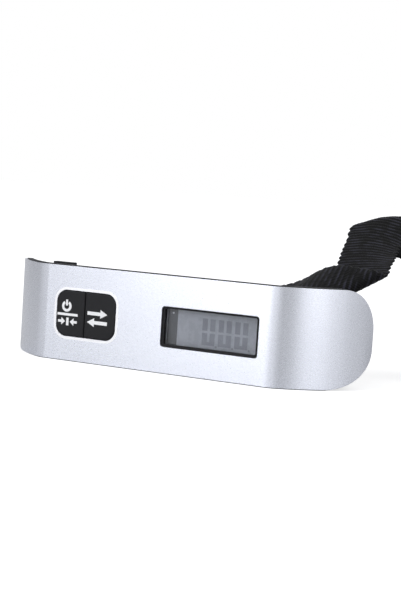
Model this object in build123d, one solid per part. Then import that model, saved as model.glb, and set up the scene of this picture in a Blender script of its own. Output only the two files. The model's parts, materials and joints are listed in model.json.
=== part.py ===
from build123d import *
from math import cos, radians, sin, tan
import os

# Hand-held digital luggage scale.  Millimetres, +Z up.
# Shapes are drawn with y = depth behind the front of the face panel, and every finished piece
# is then moved by FACE_Y, which puts the origin on the lower rim that the scale stands on.

# ---- bowed face ----
FACE_Y = -2.0              # place of the panel's front surface
PANEL_HEIGHT = 34.0
RIM = 0.3                  # the black frame stands this far past the panel, above and below
BODY_HEIGHT = PANEL_HEIGHT + 2 * RIM
MID_Z = BODY_HEIGHT / 2
FLAT_HALF = 44.0           # half of the flat middle stretch
BEND_R, BEND_DEG = 10.0, 30.0
WING_R, WING_DEG = 57.0, 34.6
PANEL_T = 0.8
FRAME_BACK = 2.8           # depth of the back of the frame's plate
END_TANGENT = 58.5         # direction of the wing ends, degrees from X
TOP_CORNER = (12.5, 14.0)  # half axes of the elliptic end corners, along and up
LOW_CORNER = (18.5, 13.6)
FRAME_END_INSET = 0.9

# ---- handle block behind the face ----
BLOCK_HALF = 68.5
BLOCK_Z = (2.0, 32.6)
BLOCK_CORNER = 13.0
BACK_END, BACK_MID = 28.0, 25.5
BACK_EDGE_R = 3.0
WALL = 2.0
SPLIT = 10.0               # depth of the parting line
GROOVE = 0.4
RIB_HEIGHT, RIB_W, RIB_PITCH, RIB_COUNT = 0.5, 1.4, 4.0, 7
RIB_FROM_X, RIB_Z = 24.0, (9.3, 25.3)
ALL_X, ALL_Z = (-80.0, 80.0), (-5.0, 45.0)

# ---- display and keys ----
DISPLAY_X, DISPLAY_Z, DISPLAY_R = (3.74, 41.4), (9.38, 23.67), 1.2
APERTURE_X, APERTURE_Z = (4.65, 40.3), (10.45, 22.9)
WINDOW_FRONT = 1.8
WINDOW_MARGIN = 1.0
BEZEL_X, BEZEL_Z, BEZEL_BACK = (1.8, 43.2), (7.4, 25.9), 6.3
GLASS_X, GLASS_Z, GLASS_DEPTH = (2.6, 42.4), (8.4, 24.9), (3.3, 5.1)
GLASS_GAP = 0.1
STRIP_X, STRIP_TALL, STRIP_FROM_EDGE = (4.0, 41.0), 1.9, 0.3
KEY_CENTRE_X, KEY_PAIR, KEY_R = -27.2, (24.4, 16.2), 3.9
KEY_DIVIDER_X, KEY_DIVIDER = -27.6, 0.3
KEY_PROUD, KEY_GAP = 0.35, 0.2
KEY_FLANGE = (3.0, 3.8)
KEY_FLANGE_MARGIN = 0.8
KEY_STEM_R, KEY_STEM_END = 2.0, 5.5
KEY_STEM_X = (-34.0, -21.0)
KEY_EDGE = 0.25            # chamfer round each cap

# ---- electronics ----
PCB_X, PCB_Z, PCB_DEPTH = (-46.0, 43.2), (6.3, 28.3), (6.3, 7.5)
PCB_SCREW_AT = ((-5.5, 10.0), (-5.5, 24.6), (-43.4, MID_Z))
TRAY_X, TRAY_Z, TRAY_DEPTH = (-57.0, -33.4), (8.2, 32.55), (11.6, 16.4)
TAB_X, TAB_DEPTH = (-50.3, -41.9), (12.2, 15.0)
CELL_X, CELL_Z, CELL_R, CELL_DEPTH = -45.2, 19.3, 10.0, (12.5, 15.7)
CELL_STEP = (1.1, 0.5)     # width and depth of the step round the cell's front
LEAF_T, LEAF_Z = 0.3, (16.8, 21.8)
DOME_R, DOME_T = 3.2, 0.25

# ---- load cell and hanger ----
BEAM_X, BEAM_DEPTH, BEAM_TALL = (-7.0, 56.0), (12.0, 22.0), 12.0
BEAM_HOLES_X, BEAM_HOLE_R = (17.0, 31.0), 4.0
BEAM_SCREW_X = (46.5, 53.5)
GAUGE_T, COATING_T, COATING_PAST = 0.1, 0.7, 5.0
LEAD_R, LEAD_PITCH, LEAD_BEND_R = 0.32, 1.8, 1.8
BOLT_R, BOLT_FRONT = 2.5, 8.6
NUT_FLATS, NUT_DEPTH, WASHER_R = 8.0, (9.0, 11.4), 5.0
EYE_DEPTH, EYE_R, EYE_WIRE_R = 32.5, 3.9, 1.6
RING_WIRE_R = 1.3
RING_FRONT, RING_BACK = 33.4, 43.1
RING_Z, RING_HALF_TALL, RING_CORNER_R = 17.0, 12.5, 1.5
CASE_SCREW_AT = [(x, z) for x in (-61.5, 61.5) for z in (10.0, 24.6)]
CASE_HEAD = (24.5, 26.3)   # depths of the seat and the top of each case screw's head
POST_END = 20.0            # depth where the frame's posts meet the cover's

# ---- strap: webbing with fold lines, each (place along, skew, inner radius, turn in degrees) ----
STRAP_W, STRAP_T = 21.6, 1.4
STRAP_BENDS = [
    (11.8, 37.2, 18.0, 58.7),
    (39.2, 22.5, 14.0, -52.9),
    (56.9, 40.5, 2.2, -165.5),
    (110.9, 21.2, 4.9, 198.5),
    (138.0, -19.0, 25.1, -81.0),
    (190.3, 3.4, 16.0, 68.0),
]
STRAP_START, STRAP_END = 2.5, 211.0
STRAP_AT = Vector(0.69, 43.9, 20.8)
STRAP_YAW, STRAP_PITCH, STRAP_ROLL = 8.0, 1.2, -33.4
STRAP_TWIST_RUN = 14.0     # the strap leaves the ring upright and takes up its roll over this run
STRAP_TAIL = 14.0          # length of the end that is turned back and sewn down
EYE_CLEAR = 0.15
EYE_TO_SEAM = 3.3          # from the bar's centre to where the two layers meet
FACET_DEG = 12.0

# ---- clip at the strap's free end ----
CLIP_DIP = 1.7             # the flat clip dips this much, so its tip touches the floor
HOOK_X = (20.0, 33.0)      # centres of the hook's rounded ends
HOOK_OUTER, HOOK_INNER, HOOK_HALF_T = 10.0, 6.0, 1.6
CLIP_FRAME_END, CLIP_SLOT_END, CLIP_SIDE_W = 9.0, 6.4, 2.9
PIN_AT, PIN_R, GATE_END = (18.5, 8.0), 0.75, 31.4


# ================= shared helpers =================
def block(x, depth, z):
    """Box between two limits on each axis."""
    centre = Pos(sum(x) / 2, sum(depth) / 2, sum(z) / 2)
    return centre * Box(x[1] - x[0], depth[1] - depth[0], z[1] - z[0])


def y_rod(radius, x, z, depth):
    """Cylinder along the depth axis."""
    return Pos(x, sum(depth) / 2, z) * Rot(90, 0, 0) * Cylinder(radius, depth[1] - depth[0])


def z_rod(radius, x, depth, z):
    return Pos(x, depth, sum(z) / 2) * Cylinder(radius, z[1] - z[0])


def plate_of(outline, depth):
    """Prism of an outline drawn in X and Z, between two depths."""
    return Pos(0, depth[1], 0) * extrude(Plane.XZ * outline, amount=depth[1] - depth[0])


def rounded(x, z, radius):
    """Rounded rectangle in X and Z."""
    return Pos(sum(x) / 2, sum(z) / 2) * RectangleRounded(x[1] - x[0], z[1] - z[0], radius)


def save(name, *solids):
    """Write one piece, moved to the row's origin."""
    shape = solids[0] if len(solids) == 1 else Compound(list(solids))
    export_step(Pos(0, FACE_Y, 0) * shape, f"parts/{name}.step")


# ================= bowed shapes =================
def bow_curve(depth):
    """Right half of the bow, seen from above: flat, tight bend, then a long gentle wing."""
    reach = WING_R - BEND_R
    wing_centre = (FLAT_HALF - reach * sin(radians(BEND_DEG)), BEND_R + reach * cos(radians(BEND_DEG)))
    return [
        Line((0, depth), (FLAT_HALF, depth)),
        CenterArc((FLAT_HALF, BEND_R), BEND_R - depth, -90, BEND_DEG),
        CenterArc(wing_centre, WING_R - depth, -90 + BEND_DEG, WING_DEG),
    ]


def bowed_slab(front, back, z):
    """Slab that follows the bow, between two depths and two heights."""
    near, far = bow_curve(front), bow_curve(back)
    ends = [Line((0, front), (0, back)), Line(near[-1] @ 1, far[-1] @ 1)]
    half = Pos(0, 0, z[0]) * extrude(make_face(near + far + ends), amount=z[1] - z[0], dir=(0, 0, 1))
    return half + mirror(half, about=Plane.YZ)


def end_trims(inset, z):
    """What is cut from both wing ends to round them, between two heights."""
    tip = bow_curve(0)[-1] @ 1
    slope = radians(END_TANGENT)
    plane = Plane(tip, x_dir=(cos(slope), sin(slope), 0), z_dir=(sin(slope), -cos(slope), 0))
    top_a, top_b = TOP_CORNER
    low_a, low_b = LOW_CORNER
    margin = 6.0
    edges = [
        EllipticalCenterArc((-inset - top_a, z[1] - top_b), top_a, top_b, start_angle=0, arc_size=90),
        EllipticalCenterArc((-inset - low_a, z[0] + low_b), low_a, low_b, start_angle=270, arc_size=90),
        Line((-inset, z[0] + low_b), (-inset, z[1] - top_b)),
        Polyline((-inset - top_a, z[1]), (-inset - top_a, z[1] + margin), (margin, z[1] + margin),
                 (margin, z[0] - margin), (-inset - low_a, z[0] - margin), (-inset - low_a, z[0])),
    ]
    trim = extrude(plane * make_face(edges), amount=2 * margin, both=True)
    return trim + mirror(trim, about=Plane.YZ)


def in_front_of_bow(depth):
    """Everything in front of the bow at a depth."""
    return bowed_slab(-30.0, depth, (-10.0, BODY_HEIGHT + 10.0))


def handle_block(inset):
    """Outer shape of the handle, drawn in by an inset, with a hollowed back."""
    half = BLOCK_HALF - inset
    z = (BLOCK_Z[0] + inset, BLOCK_Z[1] - inset)
    plan = make_face([
        Polyline((half, BACK_END - inset), (half, 0), (-half, 0), (-half, BACK_END - inset)),
        ThreePointArc((-half, BACK_END - inset), (0, BACK_MID - inset), (half, BACK_END - inset)),
    ])
    prism = plate_of(rounded((-half, half), z, BLOCK_CORNER - inset), (-1, BACK_END + 5))
    solid = prism & extrude(plan, amount=BODY_HEIGHT, dir=(0, 0, 1))
    rear_edges = solid.faces().sort_by(Axis.Y)[-1].edges()
    return fillet(rear_edges, BACK_EDGE_R - 0.8 * max(inset, 0))


# ================= face =================
def key_outline(grow):
    half_x, half_z = KEY_PAIR[0] / 2 + grow, KEY_PAIR[1] / 2 + grow
    x = (KEY_CENTRE_X - half_x, KEY_CENTRE_X + half_x)
    return rounded(x, (MID_Z - half_z, MID_Z + half_z), KEY_R + grow)


def front_panel():
    z = (RIM, RIM + PANEL_HEIGHT)
    panel = bowed_slab(0, PANEL_T, z) - end_trims(0, z)
    panel -= plate_of(rounded(DISPLAY_X, DISPLAY_Z, DISPLAY_R), (-1, 2))
    panel -= plate_of(key_outline(KEY_GAP + 0.05), (-1, 2))
    return panel


def front_frame(outer, cavity):
    z = (0, BODY_HEIGHT)
    frame = bowed_slab(PANEL_T, FRAME_BACK, z) - end_trims(FRAME_END_INSET, z)
    frame += (outer - cavity) & block(ALL_X, (0, SPLIT), ALL_Z)
    for x, z_at in PCB_SCREW_AT:
        frame += y_rod(2.0, x, z_at, (2.0, PCB_DEPTH[0]))
        frame -= y_rod(0.92, x, z_at, (3.8, PCB_DEPTH[0]))
    posts = [y_rod(3.0, x, z_at, (5.0, POST_END)) for x, z_at in CASE_SCREW_AT]
    frame += Compound(posts) - in_front_of_bow(1.5)
    for x, z_at in CASE_SCREW_AT:
        frame -= y_rod(1.32, x, z_at, (16.6, POST_END))
    frame -= plate_of(rounded(APERTURE_X, APERTURE_Z, 0.6), (0, 4))
    frame -= block(*window_pocket(0.05))
    frame -= plate_of(key_outline(KEY_GAP), (0, 4))
    return frame


def window_pocket(gap):
    """Seat of the display window in the back of the frame's plate."""
    grow = WINDOW_MARGIN + gap
    x = (APERTURE_X[0] - grow, APERTURE_X[1] + grow)
    z = (APERTURE_Z[0] - grow, APERTURE_Z[1] + grow)
    return x, (WINDOW_FRONT, FRAME_BACK), z


def display_bezel():
    bezel = block(BEZEL_X, (FRAME_BACK, BEZEL_BACK), BEZEL_Z)
    view_x, _, view_z = window_pocket(-0.2)
    bezel -= block(view_x, (0, 5), view_z)
    seat_x = (GLASS_X[0] - GLASS_GAP, GLASS_X[1] + GLASS_GAP)
    seat_z = (GLASS_Z[0] - GLASS_GAP, GLASS_Z[1] + GLASS_GAP)
    return bezel - block(seat_x, (GLASS_DEPTH[0], 9), seat_z)


def contact_strips():
    """Two elastomer strips that join the glass to the board."""
    depth = (GLASS_DEPTH[1], PCB_DEPTH[0])
    low_z = GLASS_Z[0] + STRIP_FROM_EDGE
    high_z = GLASS_Z[1] - STRIP_FROM_EDGE
    low = block(STRIP_X, depth, (low_z, low_z + STRIP_TALL))
    high = block(STRIP_X, depth, (high_z - STRIP_TALL, high_z))
    return low, high


def key(side, stem_x):
    """One press key: cap, retaining flange on its outer sides, and stem.  side is -1 left, 1 right."""
    edge = KEY_DIVIDER_X + side * KEY_DIVIDER / 2
    keep = block((edge - 40, edge) if side < 0 else (edge, edge + 40), (-5, 10), (0, BODY_HEIGHT))
    cap = plate_of(key_outline(0), (-KEY_PROUD, KEY_FLANGE[0])) & keep
    cap = chamfer(cap.faces().sort_by(Axis.Y)[0].edges(), KEY_EDGE)
    flange = plate_of(key_outline(KEY_FLANGE_MARGIN), KEY_FLANGE) & keep
    return cap + flange + y_rod(KEY_STEM_R, stem_x, MID_Z, (KEY_FLANGE[1], KEY_STEM_END))


def key_domes():
    """Snap domes on the board, just behind the stems."""
    depth = (PCB_DEPTH[0] - 0.01 - DOME_T, PCB_DEPTH[0] - 0.01)
    return [y_rod(DOME_R, x, MID_Z, depth) for x in KEY_STEM_X]


# ================= electronics =================
def main_pcb():
    board = block(PCB_X, PCB_DEPTH, PCB_Z)
    board = fillet(board.edges().filter_by(Axis.Y), 1.5)
    for x, z in PCB_SCREW_AT:
        board -= y_rod(1.1, x, z, (6, 8))
    return board


def pcb_components():
    """Small parts on the back of the board: two rows of chips, a crystal can and a capacitor."""
    back = PCB_DEPTH[1]
    row_x = [-30.5 + 3.2 * i for i in range(5)]
    column_z = [9.0 + 2.4 * i for i in range(4)]
    bodies = [block((x, x + 1.6), (back, back + 0.6), (24.0, 24.9)) for x in row_x]
    bodies += [block((-24.0, -22.4), (back, back + 0.8), (z, z + 1.0)) for z in column_z]
    bodies.append(y_rod(1.5, -16.0, 25.5, (back, back + 1.4)))
    bodies.append(block((-38.5, -35.5), (back, back + 1.1), (9.0, 12.0)))
    return bodies


def control_chip():
    back = PCB_DEPTH[1]
    body = block((-19.5, -9.5), (back + 0.2, back + 1.4), (12.3, 22.3))
    for i in range(8):
        leg_z = 13.15 + 1.14 * i
        body += block((-20.6, -8.4), (back, back + 0.4), (leg_z, leg_z + 0.4))
    return body


def battery_tray():
    tray = block(TRAY_X, TRAY_DEPTH, TRAY_Z)
    tray += block(TAB_X, TAB_DEPTH, (TRAY_Z[1] - 1, BODY_HEIGHT))
    tray -= y_rod(CELL_R + 0.15, CELL_X, CELL_Z, (CELL_DEPTH[0] - 0.1, 20))
    tray -= y_rod(CELL_R - 1.8, CELL_X, CELL_Z, (8, 20))
    return tray


def coin_cell():
    """Button cell with a step round its front."""
    wide, deep = CELL_STEP
    step = (CELL_DEPTH[0] - deep, CELL_DEPTH[0] + deep)
    ring = y_rod(CELL_R + 1, CELL_X, CELL_Z, step) - y_rod(CELL_R - wide, CELL_X, CELL_Z, step)
    return y_rod(CELL_R, CELL_X, CELL_Z, CELL_DEPTH) - ring


def battery_contact(leaf_x, leaf_front, leg_x):
    """Flat leaf beside the tray, on a leg that reaches back to the board."""
    leaf_back = leaf_front + LEAF_T
    leaf = block(leaf_x, (leaf_front, leaf_back), LEAF_Z)
    return leaf + block((leg_x, leg_x + LEAF_T), (PCB_DEPTH[1], leaf_back), LEAF_Z)


# ================= load cell =================
def load_cell_beam():
    z = (MID_Z - BEAM_TALL / 2, MID_Z + BEAM_TALL / 2)
    beam = block(BEAM_X, BEAM_DEPTH, z)
    mid = sum(BEAM_DEPTH) / 2
    for x in BEAM_HOLES_X:
        beam -= z_rod(BEAM_HOLE_R, x, mid, z)
    beam -= block(BEAM_HOLES_X, (mid - 1, mid + 1), z)
    beam -= y_rod(BOLT_R + 0.1, 0, MID_Z, BEAM_DEPTH)
    for x in BEAM_SCREW_X:
        beam -= y_rod(1.6, x, MID_Z, BEAM_DEPTH)
    return beam


def strain_gauges():
    """Foil gauges over the thin webs, two on each long side."""
    front, back = BEAM_DEPTH
    z = (MID_Z - 2, MID_Z + 2)
    sides = ((front - GAUGE_T, front), (back, back + GAUGE_T))
    return [block((x - 3, x + 3), side, z) for side in sides for x in BEAM_HOLES_X]


def gauge_coating(gauges):
    """Soft sealant over the gauges."""
    front, back = BEAM_DEPTH
    x = (BEAM_HOLES_X[0] - COATING_PAST, BEAM_HOLES_X[1] + COATING_PAST)
    z = (MID_Z - 4, MID_Z + 4)
    blobs = []
    for side in ((front - COATING_T, front), (back, back + COATING_T)):
        blob = fillet(block(x, side, z).edges().filter_by(Axis.Y), 2.5)
        for gauge in gauges:
            blob -= gauge
        blobs.append(blob)
    return blobs


def load_cell_leads():
    """Four wires from the sealant to the board."""
    side = BEAM_HOLES_X[0] - COATING_PAST
    down = side - 3.2
    depth = BEAM_DEPTH[0] - COATING_T / 2
    leads = []
    for i in range(4):
        level = Plane.XY.offset(14.6 + LEAD_PITCH * i)
        corners = ((side, depth), (down, depth), (down, PCB_DEPTH[1]))
        route = level * FilletPolyline(*corners, radius=LEAD_BEND_R)
        start = Plane(route @ 0, z_dir=route % 0)
        leads.append(sweep(start * Circle(LEAD_R), path=route))
    return leads


def screw(x, z, head, head_r, shank_r, tip):
    """Cross-head screw driven along the depth axis: head is (seat depth, top depth)."""
    seat, top = head
    recess_deep, recess_half_w = 0.9, 0.3
    body = y_rod(head_r, x, z, sorted(head)) + y_rod(shank_r, x, z, sorted((seat, tip)))
    recess = sorted((top, top + (recess_deep if top < seat else -recess_deep)))
    arm = head_r * 0.6
    body -= block((x - arm, x + arm), recess, (z - recess_half_w, z + recess_half_w))
    return body - block((x - recess_half_w, x + recess_half_w), recess, (z - arm, z + arm))


def hanger_bolt():
    shaft = y_rod(BOLT_R, 0, MID_Z, (BOLT_FRONT, EYE_DEPTH - EYE_R))
    return shaft + Pos(0, EYE_DEPTH, MID_Z) * Torus(EYE_R, EYE_WIRE_R)


def hanger_nut():
    hexagon = Pos(0, MID_Z) * RegularPolygon(NUT_FLATS / 2, 6, major_radius=False)
    return plate_of(hexagon, NUT_DEPTH) - y_rod(BOLT_R + 0.02, 0, MID_Z, (8, 12))


def hanger_washer():
    depth = (NUT_DEPTH[1], BEAM_DEPTH[0])
    return y_rod(WASHER_R, 0, MID_Z, depth) - y_rod(BOLT_R + 0.1, 0, MID_Z, (11, 13))


def hanger_ring():
    """Upright rectangular wire ring; its front bar passes through the eye."""
    low, high = RING_Z - RING_HALF_TALL, RING_Z + RING_HALF_TALL
    path = Plane.YZ * FilletPolyline(
        (RING_FRONT, low), (RING_BACK, low), (RING_BACK, high), (RING_FRONT, high),
        radius=RING_CORNER_R, close=True)
    start = Plane(path @ 0, z_dir=path % 0)
    return sweep(start * Circle(RING_WIRE_R), path=path)


# ================= rear cover =================
def grip_ribs():
    """Upright ribs on both halves of the back."""
    bars = []
    for side in (-1, 1):
        for i in range(RIB_COUNT):
            x = side * (RIB_FROM_X + RIB_PITCH * i)
            bars.append(block((x - RIB_W / 2, x + RIB_W / 2), (20, 32), RIB_Z))
    return Compound(bars) & handle_block(-RIB_HEIGHT)


def rear_cover(outer, cavity):
    cover = outer + grip_ribs() + y_rod(6.0, 0, MID_Z, (22, 26.3))
    cover -= cavity
    cover &= block(ALL_X, (SPLIT, 40), ALL_Z)
    cover -= (handle_block(0) - handle_block(GROOVE)) & block(ALL_X, (SPLIT, SPLIT + 0.5), ALL_Z)
    for x, z in CASE_SCREW_AT:
        cover += y_rod(3.6, x, z, (POST_END + 0.2, 26.5)) - in_front_of_bow(FRAME_BACK + 0.2)
        cover -= y_rod(1.6, x, z, (18, 32))
        cover -= y_rod(3.1, x, z, (CASE_HEAD[0], 32))
    cover += block((43.0, 57.0), (BEAM_DEPTH[1], 25.5), (MID_Z - 6, MID_Z + 6))
    for x in BEAM_SCREW_X:
        cover -= y_rod(1.52, x, MID_Z, (20, 25.6))
    for x in ((-56.0, -54.0), (-36.5, -34.5)):
        cover += block(x, (TRAY_DEPTH[1] + 0.2, 24.5), (5.0, 30.0))
    cover += block((-57.0, -34.0), (13.4, 24.5), (5.8, TRAY_Z[0] - 0.2))
    cover -= block((-53.0, -30.0), (TRAY_DEPTH[1], 17.4), (16.3, 22.3))
    slot_x = (TRAY_X[0] - 0.2, TRAY_X[1] + 0.2)
    cover -= block(slot_x, (TRAY_DEPTH[0] - 0.2, TRAY_DEPTH[1] + 0.2), (25, 40))
    return cover - y_rod(3.6, 0, MID_Z, (20, 30))


# ================= strap =================
def bent(s, t, h):
    """A strap point after every fold: s along, t across, h off the middle surface."""
    point = Vector(s, t, h)
    for start, skew, radius, turn in reversed(STRAP_BENDS):
        onward = Vector(cos(radians(skew)), -sin(radians(skew)), 0)
        crease = Vector(sin(radians(skew)), cos(radians(skew)), 0)
        lift = Vector(0, 0, 1 if turn > 0 else -1)
        origin = Vector(start, 0, 0)
        past = (Vector(s, t, 0) - origin).dot(onward)
        if past <= 0:
            continue
        angle = min(past / radius, radians(abs(turn)))
        local = point - origin
        rest = 0 if past < radius * radians(abs(turn)) else local.dot(onward) - radius * angle
        reach = radius - local.dot(lift)
        point = (origin + crease * local.dot(crease)
                 + onward * (reach * sin(angle) + rest * cos(angle))
                 + lift * (radius - reach * cos(angle) + rest * sin(angle)))
    return point


def strap_point(s, t, h):
    """The same point in the scale's own frame; the strap leaves the ring upright."""
    run = min(max((s - STRAP_START) / STRAP_TWIST_RUN, 0), 1)
    share = run * run * (3 - 2 * run)
    point = bent(s, t, h)
    roll = radians(STRAP_ROLL * share)
    upright = Vector(point.X,
                     -point.Z * cos(roll) - point.Y * sin(roll),
                     -point.Z * sin(roll) + point.Y * cos(roll))
    pitched = upright.rotate(Axis((0, 0, 0), (0, -1, 0)), STRAP_PITCH * share)
    turned = pitched.rotate(Axis((0, 0, 0), (0, 0, 1)), STRAP_YAW)
    height = RING_Z + (STRAP_AT.Z - RING_Z) * share
    return turned + Vector(STRAP_AT.X, STRAP_AT.Y, height)


def strap_plane(s, t, h):
    """Plane on the strap: x along it, y across it, z off its surface."""
    step = 0.02
    along = strap_point(s + step, t, h) - strap_point(s - step, t, h)
    across = strap_point(s, t + step, h) - strap_point(s, t - step, h)
    return Plane(strap_point(s, t, h), x_dir=along, z_dir=along.cross(across))


def strap_stations():
    """Straight lines across the strap that its facets run between: (place, skew, thickness above)."""
    places = [(STRAP_START, 0.0)]
    for start, skew, radius, turn in STRAP_BENDS:
        count = max(2, round(abs(turn) / FACET_DEG))
        length = radius * radians(abs(turn)) / cos(radians(skew))
        places += [(start + length * i / count, skew) for i in range(count + 1)]
    places.append((STRAP_END, 0.0))
    stations = []
    for place, skew in places:
        single = STRAP_START + STRAP_TAIL < place < STRAP_END - STRAP_TAIL
        stations.append((place, skew, STRAP_T * (0.5 if single else 1.5)))
    return stations


def strap_ribbon():
    """Closed facetted solid of the webbing, twice as thick where its ends are sewn back."""
    rings = []
    for place, skew, top in strap_stations():
        corners = []
        for t, h in ((-1, -STRAP_T / 2), (1, -STRAP_T / 2), (1, top), (-1, top)):
            t_at = t * STRAP_W / 2
            corners.append(strap_point(place + t_at * tan(radians(skew)), t_at, h))
        rings.append(corners)
    faces = []
    for a, b, c, d in (rings[0], rings[-1]):
        faces += [triangle(a, b, c), triangle(a, c, d)]
    for near, far in zip(rings[:-1], rings[1:]):
        for i in range(4):
            j = (i + 1) % 4
            faces.append(triangle(near[i], near[j], far[j]))
            faces.append(triangle(near[i], far[j], far[i]))
    return Solid(Shell(faces))


def triangle(a, b, c):
    return Face(Wire.make_polygon([a, b, c], close=True))


def loop_plane(end):
    """Plane at a strap end's seam: x along the strap and out of its end, z across it."""
    place, outward = (STRAP_START, -1) if end == "ring" else (STRAP_END, 1)
    on_strap = strap_plane(place + outward * 0.1, 0, STRAP_T / 2)
    seam = strap_point(place, 0, STRAP_T / 2)
    return Plane(seam, x_dir=on_strap.x_dir * outward, z_dir=on_strap.y_dir)


def strap_loop(end):
    """Loop of webbing round a bar, narrowing to the seam."""
    inner = RING_WIRE_R + EYE_CLEAR
    outer = inner + STRAP_T
    lean = radians(60)
    touch_x, touch_y = EYE_TO_SEAM - outer * cos(lean), outer * sin(lean)
    low = [(-0.3, -STRAP_T), (0, -STRAP_T), (touch_x, -touch_y)]
    neck = Polyline(*low, *[(x, -y) for x, y in reversed(low)], close=True)
    outline = make_face(neck) + Pos(EYE_TO_SEAM, 0) * Circle(outer) - Pos(EYE_TO_SEAM, 0) * Circle(inner)
    return extrude(loop_plane(end) * outline, amount=STRAP_W / 2, both=True)


def strap():
    return strap_ribbon() + strap_loop("ring") + strap_loop("clip")


def strap_stitching():
    """Two rows of stitches across the end sewn round the clip, lying on the webbing."""
    count, length, wide, tall = 8, 1.7, 0.5, 0.2
    pitch = STRAP_W / (count + 1)
    level = 1.5 * STRAP_T + tall
    stitches = []
    for row in (STRAP_END - 2.5, STRAP_END - 8.5):
        for i in range(count):
            t = (i + 1) * pitch - STRAP_W / 2
            stitches.append(strap_plane(row, t, level) * Box(wide, length, tall))
    return stitches


# ================= clip =================
def clip_plane():
    """Plane of the flat clip: x away from the strap, y along its bar, z up."""
    seam = loop_plane("clip")
    centre = seam.origin + seam.x_dir * EYE_TO_SEAM
    level = Vector(seam.x_dir.X, seam.x_dir.Y, 0).normalized()
    dip = radians(CLIP_DIP)
    return Plane(centre, x_dir=level * cos(dip) - Vector(0, 0, sin(dip)),
                 z_dir=level * sin(dip) + Vector(0, 0, cos(dip)))


def clip_body():
    """Slotted frame with a round bar, and a hook whose mouth the gate closes."""
    slot_half = STRAP_W / 2 + 0.5
    frame = RectangleRounded(CLIP_FRAME_END, 2 * (slot_half + CLIP_SIDE_W), 1.8)
    frame = Pos(CLIP_FRAME_END / 2, 0) * frame
    frame -= Pos(CLIP_SLOT_END / 2 - 1, 0) * Rectangle(CLIP_SLOT_END + 2, 2 * slot_half)
    solid = extrude(frame, amount=RING_WIRE_R, both=True)
    solid += Rot(90, 0, 0) * Cylinder(RING_WIRE_R, 2 * (slot_half + 1.2))
    middle, length = sum(HOOK_X) / 2, HOOK_X[1] - HOOK_X[0]
    hook = Pos(middle, 0) * SlotCenterToCenter(length, 2 * HOOK_OUTER)
    hook += Pos(CLIP_FRAME_END + 1.5, 0) * Rectangle(5, 9)
    hook -= Pos(middle, 0) * SlotCenterToCenter(length, 2 * HOOK_INNER)
    hook -= Pos((PIN_AT[0] + GATE_END) / 2, PIN_AT[1]) * Rectangle(GATE_END - PIN_AT[0], 6.0)
    hook += Pos(*PIN_AT) * Circle(2.0)
    solid += extrude(hook, amount=HOOK_HALF_T, both=True)
    solid -= extrude(Pos(PIN_AT[0] + 1.5, PIN_AT[1]) * Rectangle(8.4, 6.4), amount=0.7, both=True)
    return solid - Pos(*PIN_AT) * Cylinder(PIN_R + 0.02, 20)


def clip_gate():
    """Gate that closes the hook's mouth: a bar with a thin tongue between the ears."""
    end = GATE_END - 0.3
    bar = Pos((PIN_AT[0] + end) / 2, PIN_AT[1]) * Rectangle(end - PIN_AT[0], 3.6)
    bar -= Pos(*PIN_AT) * Circle(2.2)
    tongue = Pos(*PIN_AT) * Circle(1.9) + Pos(PIN_AT[0] + 1.6, PIN_AT[1]) * Rectangle(3.2, 3.2)
    gate = extrude(bar, amount=HOOK_HALF_T - 0.1, both=True) + extrude(tongue, amount=0.6, both=True)
    return gate - Pos(*PIN_AT) * Cylinder(PIN_R + 0.05, 20)


def gate_pin():
    shank = Pos(PIN_AT[0], PIN_AT[1], 0.55) * Cylinder(PIN_R, 2 * HOOK_HALF_T + 1.1)
    return shank + Pos(PIN_AT[0], PIN_AT[1], HOOK_HALF_T + 1.5) * Cylinder(1.3, 0.8)


def gate_spring():
    """Two turns round the pin and a leg on the hook."""
    wire, turn_r, leg_long = 0.22, PIN_R + 0.35, 4.4
    level = HOOK_HALF_T + 0.25
    turns = [Pos(*PIN_AT, level + 0.46 * i) * Torus(turn_r, wire) for i in range(2)]
    leg = Pos(PIN_AT[0] - leg_long / 2, PIN_AT[1] - turn_r, level) * Rot(0, 90, 0) * Cylinder(wire, leg_long)
    return turns[0] + leg, turns[1]


# ================= write the pieces =================
os.makedirs("parts", exist_ok=True)
bow_front = in_front_of_bow(FRAME_BACK)
outer_shape = handle_block(0) - bow_front
cavity_shape = handle_block(WALL)

save("front_panel", front_panel())
save("front_frame", front_frame(outer_shape, cavity_shape))
save("rear_cover", rear_cover(outer_shape, cavity_shape))
save("display_window", block(*window_pocket(0)))
save("display_bezel", display_bezel())
save("lcd_glass", block(GLASS_X, GLASS_DEPTH, GLASS_Z))
save("contact_strips", *contact_strips())
save("power_key", key(-1, KEY_STEM_X[0]))
save("unit_key", key(1, KEY_STEM_X[1]))
save("key_domes", *key_domes())
save("main_pcb", main_pcb())
save("pcb_components", *pcb_components())
save("control_chip", control_chip())
save("pcb_screws", *[screw(x, z, (7.5, 8.7), 1.9, 0.9, 4.0) for x, z in PCB_SCREW_AT])
save("battery_tray", battery_tray())
save("coin_cell", coin_cell())
save("battery_contact_front", battery_contact((-50.0, -38.0), 11.0, -38.3))
save("battery_contact_rear", battery_contact((-52.0, -31.2), 16.8, -31.5))
save("load_cell_beam", load_cell_beam())
gauges = strain_gauges()
save("strain_gauges", *gauges)
save("gauge_coating", *gauge_coating(gauges))
save("load_cell_leads", *load_cell_leads())
save("load_cell_screws", *[screw(x, MID_Z, (12.0, 10.0), 2.75, 1.5, 25.5) for x in BEAM_SCREW_X])
save("case_screws", *[screw(x, z, CASE_HEAD, 2.9, 1.3, 16.8) for x, z in CASE_SCREW_AT])
save("hanger_bolt", hanger_bolt())
save("hanger_nut", hanger_nut())
save("hanger_washer", hanger_washer())
save("hanger_ring", hanger_ring())
save("strap", strap())
save("strap_stitching", *strap_stitching())
on_clip = clip_plane().location
save("clip_body", on_clip * clip_body())
save("clip_gate", on_clip * clip_gate())
save("gate_pin", on_clip * gate_pin())
save("gate_spring", *[on_clip * piece for piece in gate_spring()])
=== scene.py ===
import json
import math

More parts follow.
